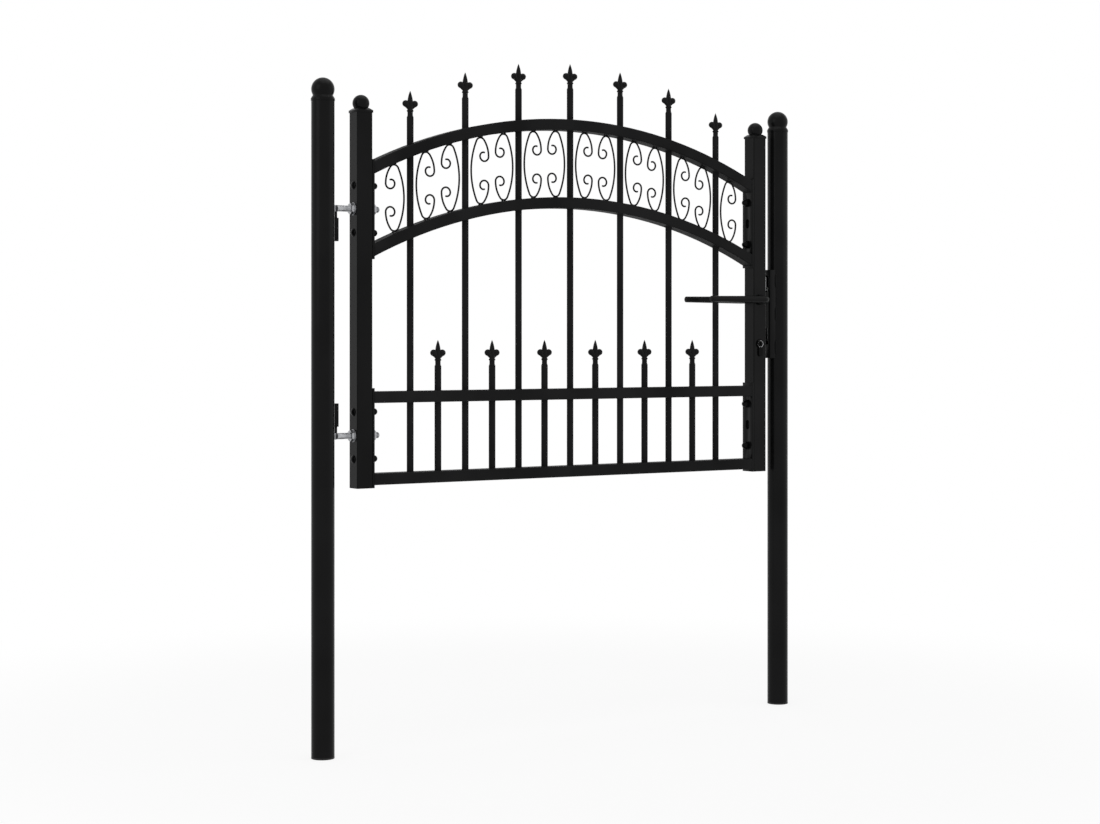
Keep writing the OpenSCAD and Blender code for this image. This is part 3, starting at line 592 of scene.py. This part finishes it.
def threaded_rod(bm, start, stop, z, r):
    """Round rod along X, plain for a length and threaded to its tip."""
    thread, tip = start + PLAIN_LENGTH, stop - TIP_LENGTH
    loops = [ring(bm, Vector((x, 0, z)), Y, Z, r, THREAD_SIDES) for x in (start, thread)]
    steps = int((tip - thread) / THREAD_PITCH * THREAD_STEPS)
    for k in range(1, steps + 1):
        x = thread + (tip - thread) * k / steps
        run_in = min(1.0, (x - thread) / THREAD_RUN_IN)
        loop = []
        for j, a in enumerate(angles(THREAD_SIDES)):
            phase = ((x - thread) / THREAD_PITCH - j / THREAD_SIDES) % 1.0
            groove = THREAD_FLANK * (1 - abs(2 * phase - 1)) - THREAD_CREST
            reach = r - THREAD_DEPTH * run_in * min(1.0, max(0.0, groove))
            loop.append(bm.verts.new((x, reach * math.cos(a), z + reach * math.sin(a))))
        loops.append(loop)
    loops.append(ring(bm, Vector((stop, 0, z)), Y, Z, r - TIP_DROP, THREAD_SIDES))
    capped_skin(bm, loops)


def eye(bm, centre, r):
    """Upright ring with broken edges."""
    low, high = -EYE_HALF_H, EYE_HALF_H
    outline = [(EYE_HOLE_R + EYE_EDGE, low), (r - EYE_EDGE, low), (r, low + EYE_EDGE), (r, high - EYE_EDGE),
               (r - EYE_EDGE, high), (EYE_HOLE_R + EYE_EDGE, high), (EYE_HOLE_R, high - EYE_EDGE),
               (EYE_HOLE_R, low + EYE_EDGE)]
    loops = []
    for a in angles(EYE_STEPS):
        out = heading(X, Y, a)
        loops.append([bm.verts.new(centre + out * q + Z * w) for q, w in outline])
    skin(bm, loops, close=True)


def eye_bolt(name, node):
    low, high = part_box(node)
    z = (low.z + high.z) / 2
    bm = bmesh.new()
    threaded_rod(bm, hinge_x, high.x, z, r=(high.z - low.z) / 2)
    eye(bm, Vector((hinge_x, hinge_y, z)), r=hinge_x - low.x)
    piece(name, bm, zinc, LEAF, sharp=38, stands_for=node)


eye_bolt("upper_threaded_eye", "upper_eye_bolt")
eye_bolt("lower_threaded_eye", "lower_eye_bolt")


# Hexagon nuts with turned chamfers, on plain washers

HEX_STEPS = 72
WASHER_R, WASHER_T, WASHER_EDGE, WASHER_STEPS = 11 * MM, 1.2 * MM, 0.25 * MM, 40
NUT_FLAT, NUT_BORE_R, NUT_MOUTH, NUT_THREAD = 9 * MM, 5.6 * MM, 0.9 * MM, 0.4 * MM
NUT_FACE_SHARE, NUT_CHAMFER = 0.97, math.tan(math.radians(30))


def hex_loop(bm, foot, out, flat, depth):
    """Hexagon of a half width over its flats, at a depth along out that depends on each point's reach."""
    u, v = sides(out)
    loop = []
    for a in angles(HEX_STEPS):
        r = flat / math.cos(a % (math.pi / 3) - math.pi / 6)
        loop.append(bm.verts.new(foot + out * depth(r) + r * heading(u, v, a)))
    return loop


def nut_and_washer(bm, base, out):
    """Washer on a face at base and a nut on it. The chamfer's curve shows on each flat of the nut."""
    u, v = sides(out)
    washer = [(0, NUT_BORE_R), (0, WASHER_R - WASHER_EDGE), (WASHER_EDGE, WASHER_R),
              (WASHER_T - WASHER_EDGE, WASHER_R), (WASHER_T, WASHER_R - WASHER_EDGE), (WASHER_T, NUT_BORE_R)]
    skin(bm, [ring(bm, base + out * d, u, v, r, WASHER_STEPS) for d, r in washer], close=True)
    foot = base + out * WASHER_T
    nut_t = hinge_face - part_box("hinge_nuts")[0].x - WASHER_T
    face_r = NUT_FLAT * NUT_FACE_SHARE

    def circle(d, r):
        return ring(bm, foot + out * d, u, v, r, HEX_STEPS)

    def drop(r):
        return (r - face_r) * NUT_CHAMFER

    skin(bm, [circle(NUT_MOUTH, NUT_BORE_R - NUT_THREAD), circle(0, NUT_BORE_R), circle(0, face_r),
              hex_loop(bm, foot, out, NUT_FLAT, drop),
              hex_loop(bm, foot, out, NUT_FLAT, lambda r: nut_t - drop(r)),
              circle(nut_t, face_r), circle(nut_t, NUT_BORE_R),
              circle(nut_t - NUT_MOUTH, NUT_BORE_R - NUT_THREAD)], close=True)


def hinge_nuts():
    """A nut on each side of the hinge stile, on both hinge bolts."""
    bm = bmesh.new()
    for name in EYE_BOLTS:
        z = middle(name).z
        nut_and_washer(bm, Vector((hinge_face, 0, z)), -X)
        nut_and_washer(bm, Vector((plate_face, 0, z)), X)
    piece("chamfered_hinge_nuts", bm, zinc, LEAF, sharp=22, stands_for="hinge_nuts")


hinge_nuts()


# Panel bolts: plain shank, low domed head outside and a cap nut with turned chamfers inside

BOLT_OFFSET, SHANK_R = 40.75 * MM, 4 * MM
HEAD_R, HEAD_H, HEAD_LIP, HEAD_EDGE, HEAD_STEPS, HEAD_SIDES = 7.5 * MM, 4 * MM, 0.6 * MM, 0.15 * MM, 10, 40
CAP_FLAT, CAP_HEX_H, CAP_TOP, CAP_DOME_R, CAP_STEPS = 6.5 * MM, 6 * MM, 12.5 * MM, 6 * MM, 12
CAP_RIM_SHARE, CAP_FACE_SHARE, CAP_CHAMFER = 0.985, 0.975, 0.55


def domed_bolt(bm, base, out, grip):
    """Shank along out from base, with a domed head on the other side of base."""
    dome_h = HEAD_H - HEAD_LIP
    ball_r = (HEAD_R ** 2 + dome_h ** 2) / (2 * dome_h)
    rise = math.asin(HEAD_R / ball_r)
    profile = [(grip, SHANK_R), (0, SHANK_R),
               (0, HEAD_R - HEAD_EDGE), (-HEAD_EDGE, HEAD_R), (-HEAD_LIP, HEAD_R)]
    for k in range(1, HEAD_STEPS):
        a = rise * (1 - k / HEAD_STEPS)
        profile.append((-(HEAD_H - ball_r + ball_r * math.cos(a)), ball_r * math.sin(a)))
    profile.append((-HEAD_H, 0))
    turned(bm, base, out, profile, HEAD_SIDES)


def cap_nut(bm, foot, out):
    """Hexagon with a turned chamfer and a dome."""
    u, v = sides(out)
    centre = CAP_TOP - CAP_DOME_R
    start = math.asin(max(0, CAP_HEX_H - centre) / CAP_DOME_R)

    def rim(r):
        return CAP_HEX_H - (r - CAP_FLAT * CAP_RIM_SHARE) * CAP_CHAMFER

    loops = [hex_loop(bm, foot, out, CAP_FLAT, lambda r: 0), hex_loop(bm, foot, out, CAP_FLAT, rim),
             ring(bm, foot + out * CAP_HEX_H, u, v, CAP_FLAT * CAP_FACE_SHARE, HEX_STEPS)]
    for k in range(CAP_STEPS):
        a = start + (math.pi / 2 - start) * k / CAP_STEPS
        level = foot + out * (centre + CAP_DOME_R * math.sin(a))
        loops.append(ring(bm, level, u, v, CAP_DOME_R * math.cos(a), HEX_STEPS))
    skin(bm, loops)
    bm.faces.new(loops[0])
    fan(bm, bm.verts.new(foot + out * CAP_TOP), loops[-1])


def panel_bolts():
    """Bolts above and below the hinge bolts' heights, through both stiles and their plates."""
    bm = bmesh.new()
    grip = plate_face - hinge_face
    for z in [middle(name).z + side * BOLT_OFFSET for name in EYE_BOLTS for side in (-1, 1)]:
        for face, out in ((hinge_face, X), (latch_face, -X)):
            base = Vector((face, 0, z))
            domed_bolt(bm, base, out, grip)
            cap_nut(bm, base + out * grip, out)
    piece("domed_panel_bolts", bm, bolt_coat, LEAF, sharp=24, stands_for="panel_bolts")


panel_bolts()


# Weld beads between the posts and what they carry

PINTLE_BEAD, PINTLE_BEAD_INSET, PINTLE_BEAD_HALF = 2.0 * MM, 1.5 * MM, 4.4 * MM
PINTLE_BEAD_OUT, PINTLE_PIN_H = 0.7 * MM, 23 * MM


def pintle_welds():
    """Beads along both sides of each hinge bar, which reaches from the post's axis towards the pin's."""
    bm = bmesh.new()
    away = Vector((hinge_x, hinge_y, 0)).normalized()
    across = Vector((-away.y, away.x, 0))
    for name, bolt in zip(PINTLES, EYE_BOLTS):
        low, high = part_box(name)
        eye_z = middle(bolt).z
        pin_up = eye_z > middle(name).z
        foot = low.z if pin_up else low.z + PINTLE_PIN_H
        top = high.z - PINTLE_PIN_H if pin_up else high.z
        for side in (-1, 1):
            at = away * (POST_R + PINTLE_BEAD_OUT) + across * side * PINTLE_BEAD_HALF
            ends = [at + Z * z for z in (foot + PINTLE_BEAD_INSET, top - PINTLE_BEAD_INSET)]
            bead_line(bm, *ends, PINTLE_BEAD, seed=side + eye_z * 9)
    piece("pintle_welds", bm, coat, POSTS, sharp=90)


STRIKE_BEAD, STRIKE_BEAD_HALF, STRIKE_BEAD_OUT = 1.5 * MM, 13 * MM, 0.4 * MM
STRIKE_BEAD_SHARES, STRIKE_BEAD_WIDEN_SHARE = (0.12, 0.5, 0.88), 1.03


def strike_welds():
    """Three short beads along each flange of the strike channel."""
    bm = bmesh.new()
    low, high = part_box("strike_channel")
    post_x = middle("latch_post").x
    for y in (low.y, high.y):
        x = post_x - math.sqrt(POST_R ** 2 - y ** 2)
        at = Vector((x - STRIKE_BEAD_OUT, y * STRIKE_BEAD_WIDEN_SHARE, 0))
        for k, share in enumerate(STRIKE_BEAD_SHARES):
            mid_z = low.z + (high.z - low.z) * share
            ends = [at + Z * z for z in (mid_z - STRIKE_BEAD_HALF, mid_z + STRIKE_BEAD_HALF)]
            bead_line(bm, *ends, STRIKE_BEAD, seed=k + y * 500)
    piece("strike_welds", bm, coat, POSTS, sharp=90)


pintle_welds()
strike_welds()


# Pieces whose hard edges are broken

SHEET_EDGE, CASE_EDGE, BAR_EDGE, CAST_EDGE = 0.5 * MM, 0.35 * MM, 0.6 * MM, 0.45 * MM

for name in PLATES:
    softened(name, SHEET_EDGE)
softened("strike_channel", SHEET_EDGE)
softened("lock_case", CASE_EDGE)
for name in PINTLES:
    softened(name, BAR_EDGE)
for name in CAPS:
    softened(name, CAST_EDGE)


# Levers: the collar on the stile is coloured darker than the coated bar, as painted shade for the shadow the
# bar casts on it

COLLAR_DEPTH, COLLAR_R = 5.2 * MM, 10.5 * MM


def lever(name):
    obj = softened(name, CAST_EDGE)
    obj.data.materials.append(collar_painted_shade)
    spindle = middle("lever_spindle")
    foot_y = min(abs(corner.y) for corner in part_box(name))
    for face in obj.data.polygons:
        off = math.hypot(face.center.x - spindle.x, face.center.z - spindle.z)
        # Faces of the collar take the darker material: painted shade for the shadow under the lever's bar
        if abs(face.center.y) < foot_y + COLLAR_DEPTH and off < COLLAR_R:
            face.material_index = 1


for name in LEVERS:
    lever(name)


# Latch bolt: its nose rounded on the side that meets the strike, with its edges broken

NOSE_X, NOSE_Y, NOSE_STEPS, BOLT_EDGE = 2.2 * MM, 7.5 * MM, 10, 0.4 * MM


def latch_outline(bm, z, inset):
    """Outline of the latch bolt at a height, drawn in by an inset."""
    low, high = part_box("latch_bolt")
    x0, x1, y0, y1 = low.x, high.x - inset, low.y + inset, high.y - inset
    points = [(x0, y0)]
    for k in range(NOSE_STEPS + 1):
        a = math.pi / 2 * k / NOSE_STEPS
        points.append((x1 - NOSE_X * (1 - math.sin(a)), y0 + NOSE_Y * (1 - math.cos(a))))
    points += [(x1, y1 - BOLT_EDGE), (x1 - BOLT_EDGE, y1), (x0, y1)]
    return [bm.verts.new((x, y, z)) for x, y in points]


def latch_bolt():
    low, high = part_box("latch_bolt")
    bm = bmesh.new()
    capped_skin(bm, [latch_outline(bm, low.z, BOLT_EDGE), latch_outline(bm, low.z + BOLT_EDGE, 0),
                     latch_outline(bm, high.z - BOLT_EDGE, 0), latch_outline(bm, high.z, BOLT_EDGE)])
    piece("rounded_latch_bolt", bm, bright_zinc, nodes["latch_bolt"]["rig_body"], sharp=30,
          stands_for="latch_bolt")


latch_bolt()


# Lock cylinder: profile with a sunk round seat at each end, in which the key's plug sits

ROUND_R, WEB_R, ROUND_STEPS, WEB_STEPS, CYLINDER_EDGE = 8.5 * MM, 5 * MM, 48, 16, 0.4 * MM
SEAT_R, SEAT_D, SEAT_STEPS = 6.4 * MM, 2.6 * MM, 48
CUP_SUNK, CUP_GAP, CUP_FLOOR_GAP, CUP_MOUTH, CUP_FOOT = 0.35 * MM, 0.05 * MM, 0.1 * MM, 0.35 * MM, 0.5 * MM
PLUG_R, PLUG_SUNK, PLUG_EDGE = 5.9 * MM, 1.5 * MM, 0.3 * MM
KEY_HALF_W, KEY_HALF_H, KEY_D = 1.2 * MM, 4.2 * MM, 1.0 * MM

cylinder_low, cylinder_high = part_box("key_cylinder")
plug_x, plug_z = (cylinder_low.x + cylinder_high.x) / 2, cylinder_high.z - ROUND_R


def cylinder_outline(bm, y, inset):
    """Outline of the cylinder at a depth, drawn in by an inset: a round part with a web under it."""
    r, w = ROUND_R - inset, WEB_R - inset
    web_z = cylinder_low.z + WEB_R - plug_z
    meet = math.asin(w / r)
    points = []
    for k in range(ROUND_STEPS + 1):
        a = -math.pi / 2 + meet + (2 * math.pi - 2 * meet) * k / ROUND_STEPS
        points.append((r * math.cos(a), r * math.sin(a)))
    for k in range(WEB_STEPS + 1):
        a = math.pi + math.pi * k / WEB_STEPS
        points.append((w * math.cos(a), web_z + w * math.sin(a)))
    return [bm.verts.new((plug_x + x, y, plug_z + z)) for x, z in points]


def edges_of(bm, loop):
    """Edges along a loop that has faces on it already."""
    return [bm.edges.get((vert, loop[(k + 1) % len(loop)])) for k, vert in enumerate(loop)]


def seat_ring(bm, face, into, depth, r):
    """Ring about the plug's axis, at a depth from an end face of the cylinder."""
    return ring(bm, face + into * depth, X, Z, r, SEAT_STEPS)


def cylinder_end(bm, loop, face, into):
    """End face of the cylinder, from its outline to a sunk seat."""
    mouth = seat_ring(bm, face, into, 0, SEAT_R)
    rim = [bm.edges.new((mouth[k], mouth[(k + 1) % SEAT_STEPS])) for k in range(SEAT_STEPS)]
    bmesh.ops.triangle_fill(bm, use_beauty=True, edges=rim + edges_of(bm, loop))
    seat_floor = seat_ring(bm, face, into, SEAT_D, SEAT_R)
    skin(bm, [mouth, seat_floor])
    bm.faces.new(seat_floor)


def seat_cup(bm, face, into):
    """Bright ring that lines the seat."""
    foot = SEAT_D - CUP_FLOOR_GAP
    cup = [(CUP_SUNK, SEAT_R - CUP_GAP), (foot, SEAT_R - CUP_GAP), (foot, SEAT_R - CUP_FOOT),
           (CUP_SUNK, SEAT_R - CUP_MOUTH)]
    skin(bm, [seat_ring(bm, face, into, depth, r) for depth, r in cup], close=True)


def key_plug(bm, face, into):
    """Plug in the seat, with a keyway in its face."""
    top = seat_ring(bm, face, into, PLUG_SUNK, PLUG_R - PLUG_EDGE)
    side = seat_ring(bm, face, into, PLUG_SUNK + PLUG_EDGE, PLUG_R)
    back = seat_ring(bm, face, into, SEAT_D - CUP_FLOOR_GAP, PLUG_R)
    corners = [Vector((x * KEY_HALF_W, 0, z * KEY_HALF_H)) for x, z in ((-1, -1), (1, -1), (1, 1), (-1, 1))]
    key = [bm.verts.new(face + into * PLUG_SUNK + corner) for corner in corners]
    deep = [bm.verts.new(vert.co + into * KEY_D) for vert in key]
    skin(bm, [top, side, back])
    bm.faces.new(back)
    skin(bm, [key, deep])
    bm.faces.new(deep)
    bmesh.ops.triangle_fill(bm, use_beauty=True, edges=edges_of(bm, top) + edges_of(bm, key))


def lock_cylinder():
    body, seats, plugs = bmesh.new(), bmesh.new(), bmesh.new()
    front, back = cylinder_low.y, cylinder_high.y
    loops = [cylinder_outline(body, front, CYLINDER_EDGE), cylinder_outline(body, front + CYLINDER_EDGE, 0),
             cylinder_outline(body, back - CYLINDER_EDGE, 0), cylinder_outline(body, back, CYLINDER_EDGE)]
    skin(body, loops)
    for loop, y, into in ((loops[0], front, Y), (loops[-1], back, -Y)):
        face = Vector((plug_x, y, plug_z))
        cylinder_end(body, loop, face, into)
        seat_cup(seats, face, into)
        key_plug(plugs, face, into)
    piece("lock_cylinder", body, cylinder_coat, LEAF, sharp=38, stands_for="key_cylinder")
    piece("cylinder_seats", seats, bright_zinc, LEAF, sharp=38)
    piece("cylinder_plugs", plugs, cylinder_coat, LEAF, sharp=38)


lock_cylinder()


# Screws in the lock's front plate, with a socket in each head

SCREW_INSET, SCREW_SINK, SCREW_SIDES = 6 * MM, 1.0 * MM, 32
SCREW_PROFILE = [(0, 3.9 * MM), (0.95 * MM, 3.9 * MM), (1.2 * MM, 3.5 * MM), (1.25 * MM, 1.5 * MM),
                 (0.7 * MM, 1.3 * MM), (0.6 * MM, 0)]


def front_plate_screws():
    low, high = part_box("lock_case")
    bm = bmesh.new()
    for z in (low.z + SCREW_INSET, high.z - SCREW_INSET):
        turned(bm, Vector((high.x - SCREW_SINK, 0, z)), X, SCREW_PROFILE, SCREW_SIDES)
    piece("front_plate_screws", bm, nickel, LEAF, sharp=38)


front_plate_screws()


# Studio: pale floor, white surroundings, soft lamps

FLOOR_R, FLOOR_STEPS, FLOOR_DROP, FLOOR_GREY = 14.0, 96, 0.4 * MM, 0.93
STUDIO_CENTRE = (0.5, 0, 0)
# White far away, and darker near the posts to keep the object's shadow
FADE_START, FADE_END, FADE_NEAR, FADE_FAR = 0.75, 1.7, 0.86, 1.0
WORLD_GREY = 0.6


def rays_that_show(tree):
    """1 for rays that show the background: from the camera, off glossy surfaces and through glass."""
    path = tree.nodes.new("ShaderNodeLightPath")
    shown = path.outputs["Is Camera Ray"]
    for ray in ("Is Glossy Ray", "Is Transmission Ray"):
        either = tree.nodes.new("ShaderNodeMath")
        either.operation = "MAXIMUM"
        tree.links.new(shown, either.inputs[0])
        tree.links.new(path.outputs[ray], either.inputs[1])
        shown = either.outputs["Value"]
    return shown


def floor_material():
    """Matte floor that takes shadows, fading into plain white where the background shows."""
    mat = bpy.data.materials.new("pale_floor")
    mat.use_nodes = True
    tree = mat.node_tree
    tree.nodes.clear()
    matte = tree.nodes.new("ShaderNodeBsdfDiffuse")
    matte.inputs["Color"].default_value = (FLOOR_GREY, FLOOR_GREY, FLOOR_GREY, 1)
    white = tree.nodes.new("ShaderNodeEmission")
    white.inputs["Color"].default_value = (1, 1, 1, 1)
    white.inputs["Strength"].default_value = 1.0
    away = tree.nodes.new("ShaderNodeVectorMath")
    away.operation = "DISTANCE"
    away.inputs[1].default_value = STUDIO_CENTRE
    tree.links.new(object_coords(tree), away.inputs[0])
    fade = tree.nodes.new("ShaderNodeMapRange")
    fade.interpolation_type = "SMOOTHSTEP"
    fade.inputs["From Min"].default_value = FADE_START
    fade.inputs["From Max"].default_value = FADE_END
    fade.inputs["To Min"].default_value = FADE_NEAR
    fade.inputs["To Max"].default_value = FADE_FAR
    tree.links.new(away.outputs["Value"], fade.inputs["Value"])
    share = tree.nodes.new("ShaderNodeMath")
    share.operation = "MULTIPLY"
    tree.links.new(rays_that_show(tree), share.inputs[0])
    tree.links.new(fade.outputs["Result"], share.inputs[1])
    both = tree.nodes.new("ShaderNodeMixShader")
    tree.links.new(share.outputs["Value"], both.inputs["Fac"])
    tree.links.new(matte.outputs["BSDF"], both.inputs[1])
    tree.links.new(white.outputs["Emission"], both.inputs[2])
    out = tree.nodes.new("ShaderNodeOutputMaterial")
    tree.links.new(both.outputs["Shader"], out.inputs["Surface"])
    return mat


def pale_floor():
    bm = bmesh.new()
    place = Matrix.Translation(Vector(STUDIO_CENTRE) - Z * FLOOR_DROP)
    bmesh.ops.create_circle(bm, cap_ends=True, segments=FLOOR_STEPS, radius=FLOOR_R, matrix=place)
    mesh = bpy.data.meshes.new("floor")
    bm.to_mesh(mesh)
    bm.free()
    mesh.materials.append(floor_material())
    floor = bpy.data.objects.new("floor", mesh)
    scene.collection.objects.link(floor)


def white_surroundings():
    """World that lights the object at a plain level and shows as white."""
    world = bpy.data.worlds.new("studio")
    scene.world = world
    world.use_nodes = True
    tree = world.node_tree
    tree.nodes.clear()
    dim = tree.nodes.new("ShaderNodeBackground")
    dim.inputs["Color"].default_value = (WORLD_GREY, WORLD_GREY, WORLD_GREY, 1)
    pale = tree.nodes.new("ShaderNodeBackground")
    pale.inputs["Color"].default_value = (1, 1, 1, 1)
    pick = tree.nodes.new("ShaderNodeMixShader")
    tree.links.new(rays_that_show(tree), pick.inputs["Fac"])
    tree.links.new(dim.outputs["Background"], pick.inputs[1])
    tree.links.new(pale.outputs["Background"], pick.inputs[2])
    out = tree.nodes.new("ShaderNodeOutputWorld")
    tree.links.new(pick.outputs["Shader"], out.inputs["Surface"])


def softbox(name, at, aim, size, power):
    """Rectangular lamp at a place, turned to its aim."""
    lamp = bpy.data.lights.new(name, "AREA")
    lamp.shape = "RECTANGLE"
    lamp.size, lamp.size_y = size
    lamp.energy = power
    obj = bpy.data.objects.new(name, lamp)
    obj.location = at
    obj.rotation_euler = (Vector(aim) - Vector(at)).to_track_quat("-Z", "Y").to_euler()
    scene.collection.objects.link(obj)


pale_floor()
white_surroundings()
softbox("left_key", at=(-2.6, -0.6, 1.9), aim=(0.4, 0, 0.7), size=(1.6, 2.2), power=11)
softbox("top_soft", at=(0.5, -0.4, 3.4), aim=(0.5, 0, 0.6), size=(2.6, 2.2), power=20)
softbox("right_fill", at=(2.9, -2.2, 1.4), aim=(0.6, 0, 0.7), size=(1.4, 2.0), power=3.5)


# Camera at the photograph's place, level, for a frame of 1100 by 824

SENSOR_W, LENS, SHIFT_Y = 36.0, 69.15, -0.0664
CAMERA_AT, CAMERA_HEADING = (-1.654, -3.237, 0.717), (0.5476, 0.8368, 0)

camera = bpy.data.cameras.new("camera")
camera.sensor_fit = "HORIZONTAL"
camera.sensor_width = SENSOR_W
camera.lens = LENS
camera.shift_y = SHIFT_Y
viewpoint = bpy.data.objects.new("camera", camera)
viewpoint.location = CAMERA_AT
viewpoint.rotation_euler = Vector(CAMERA_HEADING).to_track_quat("-Z", "Y").to_euler()
scene.collection.objects.link(viewpoint)
scene.camera = viewpoint
